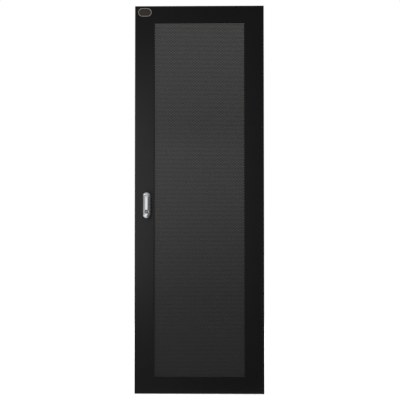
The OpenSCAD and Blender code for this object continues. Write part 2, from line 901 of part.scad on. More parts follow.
// the sprung pin: reduced tip, shank with a groove for the clip, bend and finger lever
module hinge_plunger() {
    bend = shank_r + 4;
    foot_z = lower_ear_z - lever_drop;
    color(zinc_plate) on_front(0, 0) translate([0, hinge_depth, 0]) {
        translate([0, 0, upper_ear_top]) cylinder(r = pin_r, h = pin_free - pin_chamfer);
        translate([0, 0, upper_ear_top + pin_free - pin_chamfer])
            cylinder(r1 = pin_r, r2 = pin_r - pin_chamfer, h = pin_chamfer);
        translate([0, 0, clip_z + clip_t + 0.05])
            cylinder(r = shank_r, h = upper_ear_top - clip_z - clip_t - 0.05);
        translate([0, 0, clip_z - 0.05]) cylinder(r = shank_r - groove_t, h = clip_t + 0.1);
        translate([0, 0, foot_z]) cylinder(r = shank_r, h = clip_z - 0.05 - foot_z);
        translate([-bend, 0, foot_z]) rotate([-90, 0, 0])
            rotate_extrude(angle = 90) translate([bend, 0]) circle(r = shank_r);
        translate([-bend, 0, foot_z - bend]) rotate([0, -90, 0]) cylinder(r = shank_r, h = knob_len);
    }
}

module plunger_clip() {
    color(spring_steel) on_front(0, 0) translate([0, hinge_depth, clip_z]) difference() {
        cylinder(r = collar_r, h = clip_t);
        translate([0, 0, -over]) cylinder(r = shank_r - groove_t + 0.05, h = clip_t + 2 * over);
        translate([groove_t - shank_r + 0.6, 0, -over])
            cube([2 * (shank_r - groove_t) - 1.2, collar_r + over, clip_t + 2 * over]);
    }
}

// points of a ring of wire round the spring's centre line at a given turn
function wire_ring(turn, z) = [
    for (i = [0:spring_sides - 1])
        let (a = 360 * i / spring_sides, r = spring_r + wire_d / 2 * cos(a))
        [r * cos(turn), r * sin(turn), z + wire_d / 2 * sin(a)]
];

module hinge_spring() {
    rings = spring_turns * spring_steps;
    z0 = lower_ear_z + ear_t + slide_gap + wire_d / 2;
    z1 = clip_z - slide_gap - wire_d / 2;
    points = [for (k = [0:rings]) each wire_ring(360 * k / spring_steps, z0 + (z1 - z0) * k / rings)];
    faces = concat(
        [[for (i = [0:spring_sides - 1]) i]],
        [for (k = [0:rings - 1], i = [0:spring_sides - 1])
            let (a = k * spring_sides + i, b = k * spring_sides + (i + 1) % spring_sides)
            [a, a + spring_sides, b + spring_sides, b]],
        [[for (i = [spring_sides - 1:-1:0]) rings * spring_sides + i]]
    );
    color(spring_steel) on_front(0, 0) translate([0, hinge_depth, 0]) polyhedron(points, faces);
}

module lower_hinge_bracket() {
    color(zinc_plate) on_front(0, 0) difference() {
        bent_bracket(collar_t, lower_bracket_h + 2 * bracket_bend);
        box(bracket_left - over, bracket_right + over, 0, bracket_back + over,
            lower_bracket_h, lower_bracket_h + 2 * bracket_bend + over);
        ear_bore(pin_r + 0.02, collar_t);
    }
}

module lower_hinge_pin() {
    color(zinc_plate) {
        translate([0, 0, -pin_free]) cylinder(r1 = pin_r - pin_chamfer, r2 = pin_r, h = pin_chamfer);
        translate([0, 0, -pin_free + pin_chamfer])
            cylinder(r = pin_r, h = pin_free - pin_chamfer + collar_t + ear_t);
        cylinder(r = collar_r, h = collar_t);
        translate([0, 0, collar_t + ear_t]) cylinder(r1 = pin_r + 1.5, r2 = pin_r, h = 2);
    }
}

// ---- earth stud and buffers ----------------------------------------------

module at_earth() {
    on_front(hinge_inset - stile_w / 2, door_bottom + earth_h) children();
}

module earth_stud() {
    color(zinc_plate) at_earth() rod_y(earth_r, sheet_t, sheet_t + 14);
}

module earth_washer() {
    color(brass) at_earth() difference() {
        rod_y(2.1 * earth_r, sheet_t, sheet_t + 1.6);
        rod_y(earth_r + 0.1, 0, sheet_t + 2 * over);
    }
}

module earth_nut() {
    color(brass) at_earth() difference() {
        hex_prism(10, sheet_t + 1.6, sheet_t + 6.6);
        rod_y(earth_r + 0.05, sheet_t, sheet_t + 8);
    }
}

module door_buffers() {
    step = (door_h - 2 * buffer_margin) / (buffer_count - 1);
    color(nylon) for (i = [0:buffer_count - 1])
        on_front(door_left + lip_w / 2 + 0.5, door_bottom + buffer_margin + i * step)
            translate([0, door_depth, 0]) rotate([-90, 0, 0]) {
                cylinder(r = buffer_r, h = buffer_t - buffer_chamfer);
                translate([0, 0, buffer_t - buffer_chamfer])
                    cylinder(r1 = buffer_r, r2 = buffer_r - buffer_chamfer, h = buffer_chamfer);
            }
}

door_leaf();
perforated_sheet();
blank_badge();
lock_housing();
handle_hub();
handle_lever();
lever_pin();
cylinder_barrel();
key_plug();
lock_tongue();
tongue_screw();
drive_spindle();
rod_pinion();
gearbox_body();
gearbox_cover();
gearbox_screws();
clamp_screws();
latch_spacer();
middle_latch();
latch_screw();
upper_rod();
lower_rod();
upper_roller();
lower_roller();
upper_roller_axle();
lower_roller_axle();
upper_rod_guide_near();
upper_rod_guide_far();
lower_rod_guide_near();
lower_rod_guide_far();
guide_studs();
guide_nuts();
upper_hinge_bracket();
hinge_plunger();
plunger_clip();
hinge_spring();
lower_hinge_bracket();
lower_hinge_pin();
earth_stud();
earth_washer();
earth_nut();
door_buffers();
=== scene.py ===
"""Looks of a perforated rack door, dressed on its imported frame.

Metres, Z up, front face towards -Y, lock on the left and hinges on the right.
The origin is the shoulder of the lower hinge pin.
"""

import json
import math

import bmesh
import bpy
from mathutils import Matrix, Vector


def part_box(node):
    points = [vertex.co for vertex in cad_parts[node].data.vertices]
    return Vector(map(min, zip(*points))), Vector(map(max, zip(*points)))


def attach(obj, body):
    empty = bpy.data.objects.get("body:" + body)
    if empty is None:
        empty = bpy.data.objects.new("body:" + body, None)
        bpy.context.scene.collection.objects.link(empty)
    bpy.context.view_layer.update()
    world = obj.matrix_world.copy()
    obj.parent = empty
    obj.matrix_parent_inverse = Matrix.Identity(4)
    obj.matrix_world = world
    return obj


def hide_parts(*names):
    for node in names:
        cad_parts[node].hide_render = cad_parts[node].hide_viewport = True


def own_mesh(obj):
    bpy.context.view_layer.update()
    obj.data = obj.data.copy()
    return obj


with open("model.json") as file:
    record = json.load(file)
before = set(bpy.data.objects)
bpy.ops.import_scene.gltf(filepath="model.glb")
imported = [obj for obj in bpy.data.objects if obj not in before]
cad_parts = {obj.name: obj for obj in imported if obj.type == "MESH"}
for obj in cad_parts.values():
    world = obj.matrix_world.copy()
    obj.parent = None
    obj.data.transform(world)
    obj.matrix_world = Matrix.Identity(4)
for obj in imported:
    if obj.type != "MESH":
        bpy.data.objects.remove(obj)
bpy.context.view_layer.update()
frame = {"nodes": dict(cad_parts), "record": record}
nodes = frame["nodes"]

MM = 0.001

# The door's main places, read from the frame.
leaf_low, leaf_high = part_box("door_leaf")
sheet_low, sheet_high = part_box("perforated_sheet")
front_y = leaf_low.y
leaf_middle = (leaf_low + leaf_high) / 2


# ---------------------------------------------------------------------------
# Camera
# ---------------------------------------------------------------------------

CAMERA_DISTANCE = 5.0
CAMERA_AZIMUTH = math.radians(1.2)
CAMERA_ELEVATION = math.radians(-1.85)
LENS = 97.1
SENSOR = 36
SHIFT_X = 0.0017
SHIFT_Y = -0.0030


def make_camera():
    """Looks at the middle of the front face from a little below it and to its right."""
    camera = bpy.data.objects.new("camera", bpy.data.cameras.new("camera"))
    bpy.context.scene.collection.objects.link(camera)
    target = Vector((leaf_middle.x, front_y, leaf_middle.z))
    back = Vector((
        math.sin(CAMERA_AZIMUTH) * math.cos(CAMERA_ELEVATION),
        -math.cos(CAMERA_AZIMUTH) * math.cos(CAMERA_ELEVATION),
        math.sin(CAMERA_ELEVATION),
    ))
    camera.location = target + CAMERA_DISTANCE * back
    camera.rotation_mode = "QUATERNION"
    camera.rotation_quaternion = (-back).to_track_quat("-Z", "Y")
    camera.data.lens = LENS
    camera.data.sensor_width = SENSOR
    camera.data.shift_x = SHIFT_X
    camera.data.shift_y = SHIFT_Y
    bpy.context.scene.camera = camera


# ---------------------------------------------------------------------------
# Node expressions
# ---------------------------------------------------------------------------

class Wire:
    """A socket in a node tree; Python's operators on it add Math nodes."""

    def __init__(self, owner, socket):
        self.owner = owner
        self.socket = socket

    def __add__(self, other):
        return self.owner.math("ADD", self, other)

    __radd__ = __add__

    def __sub__(self, other):
        return self.owner.math("SUBTRACT", self, other)

    def __rsub__(self, other):
        return self.owner.math("SUBTRACT", other, self)

    def __mul__(self, other):
        return self.owner.math("MULTIPLY", self, other)

    __rmul__ = __mul__

    def __truediv__(self, other):
        return self.owner.math("DIVIDE", self, other)

    def __pow__(self, other):
        return self.owner.math("POWER", self, other)

    def __mod__(self, other):
        return self.owner.math("MODULO", self, other)

    def floor(self):
        return self.owner.math("FLOOR", self)

    def below(self, limit):
        return self.owner.math("LESS_THAN", self, limit)

    def at_least(self, other):
        return self.owner.math("MAXIMUM", self, other)

    def at_most(self, other):
        return self.owner.math("MINIMUM", self, other)

    def between(self, low, high):
        """Rises smoothly from 0 at low to 1 at high."""
        settings = {"interpolation_type": "SMOOTHSTEP"}
        return self.owner.add("ShaderNodeMapRange", settings, self, low, high, 0.0, 1.0)


class Nodes:
    """A node tree that grows through one method."""

    def __init__(self, tree):
        self.tree = tree

    def add(self, kind, settings=None, *values, output=0, **named):
        """Adds a node, sets it up, feeds its sockets in use and gives one of its outputs."""
        node = self.tree.nodes.new(kind)
        for key, value in (settings or {}).items():
            if key == "stops":
                while len(node.color_ramp.elements) < len(value):
                    node.color_ramp.elements.new(0.5)
                for element, (position, colour) in zip(node.color_ramp.elements, value):
                    element.position = position
                    element.color = (*colour, 1)
            else:
                setattr(node, key, value)
        inputs = [socket for socket in node.inputs if socket.enabled]
        for key, value in [*enumerate(values), *named.items()]:
            if isinstance(key, int):
                self.put(value, inputs[key])
            else:
                self.put(value, next(s for s in inputs if s.name == key.replace("_", " ")))
        outputs = [socket for socket in node.outputs if socket.enabled]
        if isinstance(output, str):
            return Wire(self, next(s for s in outputs if s.name == output))
        return Wire(self, outputs[output])

    def put(self, value, socket):
        """Feeds a socket from a wire or sets its value."""
        if isinstance(value, Wire):
            self.tree.links.new(value.socket, socket)
        else:
            socket.default_value = value

    def math(self, operation, *values):
        return self.add("ShaderNodeMath", {"operation": operation}, *values)

    def vector(self, x=0.0, y=0.0, z=0.0):
        return self.add("ShaderNodeCombineXYZ", None, x, y, z)

    def parts(self, vector):
        """The X, Y and Z of a vector."""
        return [self.add("ShaderNodeSeparateXYZ", None, vector, output=letter) for letter in "XYZ"]


class Finish(Nodes):
    """A node material with a Principled shader."""

    def __init__(self, name, **constants):
        self.material = bpy.data.materials.new(name)
        self.material.use_nodes = True
        super().__init__(self.material.node_tree)
        self.shader = self.tree.nodes["Principled BSDF"]
        for socket, value in constants.items():
            self.shader.inputs[socket.replace("_", " ")].default_value = value
        self.place = self.add("ShaderNodeTexCoord", output="Object")

    def noise(self, scale, detail=2.0, place=None):
        return self.add("ShaderNodeTexNoise", Vector=place or self.place, Scale=scale, Detail=detail)

    def stretched(self, x, y, z):
        """The object's coordinates, scaled, for grain that runs one way."""
        return self.add("ShaderNodeMapping", Vector=self.place, Scale=(x, y, z))

    def blend(self, factor, first, second):
        """Mixes two colours by a factor."""
        colours = [c if isinstance(c, Wire) else (*c, 1) for c in (first, second)]
        return self.add("ShaderNodeMix", {"data_type": "RGBA"}, factor, *colours)

    def bump(self, height, distance, under=None):
        """A normal from a height in 0 to 1 that stands for a distance in metres."""
        named = {"Distance": distance, "Height": height}
        if under is not None:
            named["Normal"] = under
        return self.add("ShaderNodeBump", **named)

    def feed(self, **sockets):
        """Feeds the shader and gives the finished material."""
        for socket, wire in sockets.items():
            self.put(wire, self.shader.inputs[socket.replace("_", " ")])
        return self.material

    def surface(self, shader):
        """Puts another shader in the Principled one's place."""
        self.tree.nodes.remove(self.shader)
        self.put(shader, self.tree.nodes["Material Output"].inputs["Surface"])
        return self.material


# ---------------------------------------------------------------------------
# Finishes
# ---------------------------------------------------------------------------

# Share of the badge's depth, from its front, that is bright rim.
RIM_SHARE = 0.25


def black_powder_coat():
    """Fine-textured black polyester powder on steel sheet."""
    paint = Finish("black_powder_coat", Specular_IOR_Level=0.08)
    grit = paint.noise(1400, detail=3)
    peel = paint.noise(260)
    cloud = paint.noise(5, detail=3)
    colour = paint.blend(cloud, (0.0076, 0.0076, 0.0081), (0.0094, 0.0094, 0.0099))
    fine = paint.bump(grit, 0.00004)
    return paint.feed(
        Base_Color=colour,
        Roughness=0.5 + 0.12 * grit + 0.06 * cloud,
        Normal=paint.bump(peel, 0.00006, under=fine),
    )


def satin_chrome():
    """Satin chrome over a polished zinc casting."""
    metal = Finish("satin_chrome", Metallic=1.0)
    haze = metal.noise(60, detail=3)
    pores = metal.noise(1800)
    colour = metal.blend(haze, (0.70, 0.71, 0.73), (0.78, 0.785, 0.80))
    return metal.feed(
        Base_Color=colour,
        Roughness=0.13 + 0.07 * haze,
        Normal=metal.bump(pores, 0.000008),
    )


def cylinder_nickel():
    """Nickel on the key cylinder, with a slight blue cast."""
    metal = Finish("cylinder_nickel", Metallic=1.0)
    haze = metal.noise(300, detail=3)
    colour = metal.blend(haze, (0.24, 0.275, 0.31), (0.32, 0.36, 0.40))
    return metal.feed(
        Base_Color=colour,
        Roughness=0.16 + 0.1 * haze,
        Normal=metal.bump(haze, 0.00001),
    )


def black_nickel():
    """Black nickel on the key cylinder's flange."""
    metal = Finish("black_nickel", Metallic=1.0)
    haze = metal.noise(400, detail=3)
    colour = metal.blend(haze, (0.015, 0.020, 0.024), (0.028, 0.035, 0.041))
    return metal.feed(
        Base_Color=colour,
        Roughness=0.24 + 0.12 * haze,
        Normal=metal.bump(haze, 0.00001),
    )


def turned_brass():
    """Bare brass, turned."""
    metal = Finish("brass", Metallic=1.0)
    haze = metal.noise(220, detail=3)
    colour = metal.blend(haze, (0.60, 0.44, 0.18), (0.70, 0.53, 0.24))
    return metal.feed(
        Base_Color=colour,
        Roughness=0.22 + 0.12 * haze,
        Normal=metal.bump(haze, 0.00001),
    )


def zinc_plate():
    """Bright zinc plate on steel, with a faint blue and yellow cloudiness."""
    metal = Finish("zinc_plate", Metallic=1.0)
    cloud = metal.noise(45, detail=4)
    spangle = metal.noise(160, detail=3)
    drawn = metal.noise(500, detail=2, place=metal.stretched(1, 1, 0.08))
    tint = metal.blend(cloud.between(0.35, 0.65), (0.34, 0.37, 0.42), (0.46, 0.45, 0.40))
    return metal.feed(
        Base_Color=metal.blend(spangle.between(0.45, 0.75), tint, (0.30, 0.31, 0.33)),
        Roughness=0.24 + 0.16 * drawn + 0.10 * spangle,
        Normal=metal.bump(drawn, 0.00003),
    )


def cast_zinc():
    """Tumbled zinc casting, dull grey."""
    metal = Finish("cast_zinc", Metallic=0.9)
    skin = metal.noise(700, detail=4)
    cloud = metal.noise(40, detail=2)
    colour = metal.blend(cloud, (0.20, 0.204, 0.21), (0.29, 0.294, 0.30))
    return metal.feed(
        Base_Color=colour,
        Roughness=0.42 + 0.16 * skin,
        Normal=metal.bump(skin, 0.00005),
    )


def spring_steel():
    """Drawn spring steel, grey."""
    metal = Finish("spring_steel", Metallic=1.0)
    drawn = metal.noise(400, detail=2)
    colour = metal.blend(drawn, (0.30, 0.305, 0.31), (0.40, 0.40, 0.40))
    return metal.feed(Base_Color=colour, Roughness=0.3 + 0.15 * drawn)


def black_nylon():
    """Moulded nylon with a fine spark-eroded grain."""
    plastic = Finish("black_nylon", Specular_IOR_Level=0.4)
    grain = plastic.noise(900, detail=3)
    colour = plastic.blend(grain, (0.016, 0.016, 0.017), (0.026, 0.026, 0.027))
    return plastic.feed(
        Base_Color=colour,
        Roughness=0.5 + 0.15 * grain,
        Normal=plastic.bump(grain, 0.00003),
    )


def black_rubber():
    """Moulded rubber, matt."""
    rubber = Finish("black_rubber", Specular_IOR_Level=0.3)
    grain = rubber.noise(500, detail=4)
    colour = rubber.blend(grain, (0.012, 0.012, 0.012), (0.022, 0.022, 0.022))
    return rubber.feed(
        Base_Color=colour,
        Roughness=0.78 + 0.12 * grain,
        Normal=rubber.bump(grain, 0.00004),
    )


def champagne_trim():
    """Blank badge: bright champagne rim round a dark satin field that lies deeper."""
    badge_low, badge_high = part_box("blank_badge")
    trim = Finish("champagne_trim")
    rim_depth = badge_low.y + RIM_SHARE * (badge_high.y - badge_low.y)
    rim = trim.parts(trim.place)[1].below(rim_depth)
    brushed = trim.noise(900, detail=2, place=trim.stretched(0.06, 1, 1))
    gold = trim.blend(brushed, (0.60, 0.52, 0.38), (0.74, 0.66, 0.52))
    dark = trim.blend(brushed, (0.018, 0.017, 0.015), (0.030, 0.028, 0.025))
    return trim.feed(
        Base_Color=trim.blend(rim, dark, gold),
        Metallic=0.15 + 0.85 * rim,
        Roughness=0.3 + 0.16 * brushed,
        Normal=trim.bump(brushed, 0.00001),
    )


# ---------------------------------------------------------------------------
# Geometry Nodes
# ---------------------------------------------------------------------------

WELD_DISTANCE = 0.02 * MM


class Tree(Nodes):
    """A Geometry Nodes tree with named inputs for its sizes."""

    def __init__(self, name, **inputs):
        super().__init__(bpy.data.node_groups.new(name, "GeometryNodeTree"))
        interface = self.tree.interface
        interface.new_socket("Geometry", in_out="INPUT", socket_type="NodeSocketGeometry")
        interface.new_socket("Geometry", in_out="OUTPUT", socket_type="NodeSocketGeometry")
        kinds = {float: "NodeSocketFloat", int: "NodeSocketInt",
                 bpy.types.Object: "NodeSocketObject", bpy.types.Material: "NodeSocketMaterial"}
        self.values = inputs
        self.identifiers = {}
        for key, value in inputs.items():
            socket = interface.new_socket(key, in_out="INPUT", socket_type=kinds[type(value)])
            self.identifiers[key] = socket.identifier
        self.entry = self.tree.nodes.new("NodeGroupInput")
        self.exit = self.tree.nodes.new("NodeGroupOutput")

    def __getitem__(self, key):
        return Wire(self, self.entry.outputs[key])

    def end(self, geometry):
        """Gives the geometry out of the tree."""
        self.put(geometry, self.exit.inputs[0])

    def finish(self, geometry, material):
        """Ends the tree in Realize Instances and Set Material."""
        realized = self.add("GeometryNodeRealizeInstances", Geometry=geometry)
        welded = self.add("GeometryNodeMergeByDistance", Geometry=realized, Distance=WELD_DISTANCE)
        self.end(self.add("GeometryNodeSetMaterial", Geometry=welded, Material=material))

    def make(self, name, body, slot):
        """Runs the tree on an empty mesh and gives the result as a plain piece."""
        host = bpy.data.objects.new(name + ".host", bpy.data.meshes.new(name + ".host"))
        bpy.context.scene.collection.objects.link(host)
        modifier = host.modifiers.new("made", "NODES")
        modifier.node_group = self.tree
        for key, value in self.values.items():
            modifier[self.identifiers[key]] = value
        bpy.context.view_layer.update()
        evaluated = host.evaluated_get(bpy.context.evaluated_depsgraph_get())
        mesh = bpy.data.meshes.new_from_object(evaluated)
        mesh.name = name
        bpy.data.objects.remove(host)
        return piece(name, mesh, body)


def piece(name, mesh, body):
    """Links a finished mesh as a piece that rides on a body."""
    made = bpy.data.objects.new(name, mesh)
    bpy.context.scene.collection.objects.link(made)
    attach(made, body)
    return made


# ---------------------------------------------------------------------------
# Perforated sheet
# ---------------------------------------------------------------------------

HOLE_PITCH = 7 * MM
HOLE_FLATS = 5 * MM
ROW_STEP = HOLE_PITCH * math.sqrt(3) / 2
CELL_TIP = HOLE_PITCH / math.sqrt(3)
COVER = 10 * MM
FIELD_PARTS = 4


def hexagon(flats):
    """Corners of a hexagon with a corner at the top, in X and Z."""
    radius = flats / math.sqrt(3)
    return [
        Vector((radius * math.sin(math.radians(60 * i)), 0, radius * math.cos(math.radians(60 * i))))
        for i in range(6)
    ]


def cell_object(name, thick):
    """One cell of the sheet, a ring from y = 0 back to the sheet's thickness."""
    back = Vector((0, thick, 0))
    shape = bmesh.new()
    outer = [(shape.verts.new(p), shape.verts.new(p + back)) for p in hexagon(HOLE_PITCH)]
    inner = [(shape.verts.new(p), shape.verts.new(p + back)) for p in hexagon(HOLE_FLATS)]
    for i in range(6):
        j = (i + 1) % 6
        shape.faces.new((outer[i][0], inner[i][0], inner[j][0], outer[j][0]))
        shape.faces.new((outer[i][1], outer[j][1], inner[j][1], inner[i][1]))
        shape.faces.new((inner[i][0], inner[i][1], inner[j][1], inner[j][0]))
    mesh = bpy.data.meshes.new(name)
    shape.to_mesh(mesh)
    shape.free()
    return bpy.data.objects.new(name, mesh)


def perforated_field(name, cell, left, bottom, columns, first_row, rows, material):
    """Rows of cells on a triangular lattice; odd rows stand half a pitch in and hold one fewer."""
    tree = Tree(
        name, Cell=cell, Pitch=HOLE_PITCH, Step=ROW_STEP, Columns=columns, Rows=rows,
        Left=left, Bottom=bottom, First=first_row, Depth=sheet_low.y, Paint=material,
    )
    grid = tree.add(
        "GeometryNodeMeshGrid", Vertices_X=tree["Columns"], Vertices_Y=tree["Rows"],
        Size_X=(tree["Columns"] - 1) * tree["Pitch"], Size_Y=(tree["Rows"] - 1) * tree["Step"],
    )
    index = tree.add("GeometryNodeInputIndex")
    column = (index / tree["Rows"]).floor()
    row = index - column * tree["Rows"] + tree["First"]
    odd = row % 2
    spot = tree.vector(
        (odd * 0.5 + column) * tree["Pitch"] + tree["Left"], tree["Depth"],
        row * tree["Step"] + tree["Bottom"],
    )
    placed = tree.add("GeometryNodeSetPosition", Geometry=grid, Position=spot)
    last = tree.math("COMPARE", column, tree["Columns"] - 1, 0.5)
    kept = tree.add("GeometryNodeDeleteGeometry", {"domain": "POINT"}, Geometry=placed, Selection=last * odd)
    info = tree.add("GeometryNodeObjectInfo", output="Geometry", Object=tree["Cell"])
    cells = tree.add("GeometryNodeInstanceOnPoints", Points=kept, Instance=info)
    tree.finish(cells, tree["Paint"])
    return tree.make(name, "door", "black_powder_coat")


def flat_strip(shape, corners, y0, y1):
    """A prism over a convex outline in X and Z, wound clockwise from the front."""
    front = [shape.verts.new((x, y0, z)) for x, z in corners]
    rear = [shape.verts.new((x, y1, z)) for x, z in corners]
    shape.faces.new(front)
    shape.faces.new(list(reversed(rear)))
    for i in range(len(corners)):
        j = (i + 1) % len(corners)
        shape.faces.new((front[j], front[i], rear[i], rear[j]))


def make_perforated_sheet(material):
    """The whole sheet at its true pitch: four fields of holes and a plain margin."""
    size = sheet_high - sheet_low
    columns = round((size.x - 2 * COVER) / HOLE_PITCH)
    rows = int((size.z - 2 * COVER - 2 * CELL_TIP) / ROW_STEP) + 1
    middle = (sheet_low + sheet_high) / 2
    left = middle.x - (columns - 1) * HOLE_PITCH / 2
    bottom = middle.z - (rows - 1) * ROW_STEP / 2
    cell = cell_object("cell", size.y)
    made = []
    start = 0
    for number in range(1, FIELD_PARTS + 1):
        end = rows * number // FIELD_PARTS
        made.append(perforated_field(
            f"perforated_field_{number}", cell, left, bottom, columns, start, end - start, material,
        ))
        start = end
    made.append(sheet_margin(left, bottom, columns, rows, material))
    for part in made:
        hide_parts("perforated_sheet")


def sheet_margin(left, bottom, columns, rows, material):
    """The unpunched margin, whose inner edge follows the outermost cells."""
    shape = bmesh.new()
    y0, y1 = sheet_low.y, sheet_high.y
    half = HOLE_PITCH / 2
    tip = CELL_TIP
    right = left + (columns - 1) * HOLE_PITCH
    top = bottom + (rows - 1) * ROW_STEP
    x0, x1 = left - half, right + half
    z0, z1 = bottom - tip, top + tip
    flat_strip(shape, [(sheet_low.x, sheet_high.z), (x0, sheet_high.z), (x0, sheet_low.z),
                       (sheet_low.x, sheet_low.z)], y0, y1)
    flat_strip(shape, [(x1, sheet_high.z), (sheet_high.x, sheet_high.z),
                       (sheet_high.x, sheet_low.z), (x1, sheet_low.z)], y0, y1)
    flat_strip(shape, [(x0, sheet_high.z), (x1, sheet_high.z), (x1, z1), (x0, z1)], y0, y1)
    flat_strip(shape, [(x0, z0), (x1, z0), (x1, sheet_low.z), (x0, sheet_low.z)], y0, y1)
    for row in range(rows):
        z = bottom + row * ROW_STEP
        if row % 2 == 1:
            for side, x in ((1, x0), (-1, x1)):
                corners = [(x, z + tip), (x + side * half, z + tip / 2),
                           (x + side * half, z - tip / 2), (x, z - tip)]
                flat_strip(shape, corners if side > 0 else corners[::-1], y0, y1)
    for z, side, row in ((z0, 1, 0), (z1, -1, rows - 1)):
        inset = row % 2
        for column in range(columns + 1 - inset):
            x = left + (column - 0.5 + 0.5 * inset) * HOLE_PITCH
            reach = [x - half, x, x + half]
            if column == 0 and not inset:
                reach[0] = x
            if column == columns and not inset:
                reach[2] = x
            corners = [(reach[0], z), (x, z + side * tip / 2), (reach[2], z)]
            corners = [c for i, c in enumerate(corners) if c not in corners[:i]]
            flat_strip(shape, corners if side > 0 else corners[::-1], y0, y1)
    mesh = bpy.data.meshes.new("sheet_margin")
    shape.to_mesh(mesh)
    shape.free()
    mesh.materials.append(material)
    return piece("sheet_margin", mesh, "door")


# ---------------------------------------------------------------------------
# Small fasteners, threads and welds
# ---------------------------------------------------------------------------

SPRING_WIRE = 1.2 * MM
SPRING_TURNS = 9.0
THREAD_PITCH = 1.0 * MM
CREST_SHARE = 0.42
BRACKET_WEB = 3 * MM
NUT_EDGE = 5 * MM
NUT_MARGIN = 12 * MM
WELD_INSET = 5 * MM
WELD_SPACING = 60 * MM
RIPPLE_STEP = 0.9 * MM
RIPPLES = 12


def lathe(name, profile, sides):
    """A solid turned about +Y from (radius, depth) pairs that start and end on the axis."""
    shape = bmesh.new()
    rings = []
    for radius, depth in profile:
        if radius == 0:
            rings.append([shape.verts.new((0, depth, 0))])
        else:
            rings.append([
                shape.verts.new((radius * math.cos(turn), depth, radius * math.sin(turn)))
                for turn in (2 * math.pi * i / sides for i in range(sides))
            ])
    for first, second in zip(rings, rings[1:]):
        for i in range(sides):
            j = (i + 1) % sides
            corners = [
                first[i % len(first)], first[j % len(first)],
                second[j % len(second)], second[i % len(second)],
            ]
            shape.faces.new([c for k, c in enumerate(corners) if c not in corners[:k]])
    bmesh.ops.recalc_face_normals(shape, faces=shape.faces)
    mesh = bpy.data.meshes.new(name)
    shape.to_mesh(mesh)
    shape.free()
    return bpy.data.objects.new(name, mesh)


def row_of(name, copy, start, step, count, material, slot):
    """Copies of one object in a straight row."""
    tree = Tree(
        name, Copy=copy, Count=count, X=start[0], Y=start[1], Z=start[2],
        Step_X=step[0], Step_Y=step[1], Step_Z=step[2], Finish=material,
    )
    line = tree.add(
        "GeometryNodeMeshLine", {"mode": "OFFSET"}, Count=tree["Count"],
        Start_Location=tree.vector(tree["X"], tree["Y"], tree["Z"]),
        Offset=tree.vector(tree["Step_X"], tree["Step_Y"], tree["Step_Z"]),
    )
    info = tree.add("GeometryNodeObjectInfo", output="Geometry", Object=tree["Copy"])
    copies = tree.add("GeometryNodeInstanceOnPoints", Points=line, Instance=info)
    tree.finish(copies, tree["Finish"])
    return tree.make(name, "door", slot)


def thread(name, place, radius, length, material, slot):
    """A thread's crest wound round a stud that stands towards +Y."""
    tree = Tree(
        name, Radius=radius, Length=length, Turns=length / THREAD_PITCH, Crest=CREST_SHARE * THREAD_PITCH,
        X=place[0], Y=place[1], Z=place[2], Finish=material,
    )
    helix = tree.add(
        "GeometryNodeCurveSpiral", Resolution=32, Rotations=tree["Turns"],
        Start_Radius=tree["Radius"], End_Radius=tree["Radius"], Height=tree["Length"],
    )
    crest = tree.add("GeometryNodeCurvePrimitiveCircle", Resolution=3, Radius=tree["Crest"])
    swept = tree.add("GeometryNodeCurveToMesh", Curve=helix, Profile_Curve=crest)
    laid = tree.add(
        "GeometryNodeTransform", Geometry=swept, Rotation=(-math.pi / 2, 0, 0),
        Translation=tree.vector(tree["X"], tree["Y"], tree["Z"]),
    )
    tree.finish(laid, tree["Finish"])
    return tree.make(name, "door", slot)


def make_spot_welds(paint):
    """Pressed marks where the perforated sheet is welded to the window's lip."""
    mark = lathe("weld_mark", [
        (0, 0.10 * MM), (1.2 * MM, 0.06 * MM), (1.9 * MM, 0.30 * MM), (2.6 * MM, 0.34 * MM), (3.4 * MM, 0),
    ], 20)
    inset = WELD_INSET
    end_gap = 3 * inset
    y = sheet_high.y
    for name, along, x, z in (
        ("left", "z", sheet_low.x + inset, 0), ("right", "z", sheet_high.x - inset, 0),
        ("top", "x", 0, sheet_high.z - inset), ("bottom", "x", 0, sheet_low.z + inset),
    ):
        low, high = getattr(sheet_low, along) + end_gap, getattr(sheet_high, along) - end_gap
        count = round((high - low) / WELD_SPACING) + 1
        step = (high - low) / (count - 1)
        if along == "z":
            start, move = (x, y, low), (0.0, 0.0, step)
        else:
            start, move = (low, y, z), (step, 0.0, 0.0)
        row_of(f"{name}_spot_welds", mark, start, move, count, paint, "black_powder_coat")


def make_corner_welds(paint):
    """Rippled beads along the mitres of the lip at the leaf's four corners."""
    ripple = lathe("weld_ripple", [
        (0, -0.4 * MM), (1.5 * MM, -0.4 * MM), (1.5 * MM, 0.15 * MM), (1.1 * MM, 0.42 * MM), (0, 0.55 * MM),
    ], 16)
    y = leaf_high.y
    for side, x in (("left", leaf_low.x), ("right", leaf_high.x)):
        for level, z in (("top", leaf_high.z), ("bottom", leaf_low.z)):
            dx = RIPPLE_STEP if side == "left" else -RIPPLE_STEP
            dz = -RIPPLE_STEP if level == "top" else RIPPLE_STEP
            start = (x + 1.8 * dx, y, z + 1.8 * dz)
            row_of(f"{level}_{side}_weld", ripple, start, (dx, 0.0, dz), RIPPLES, paint, "black_powder_coat")


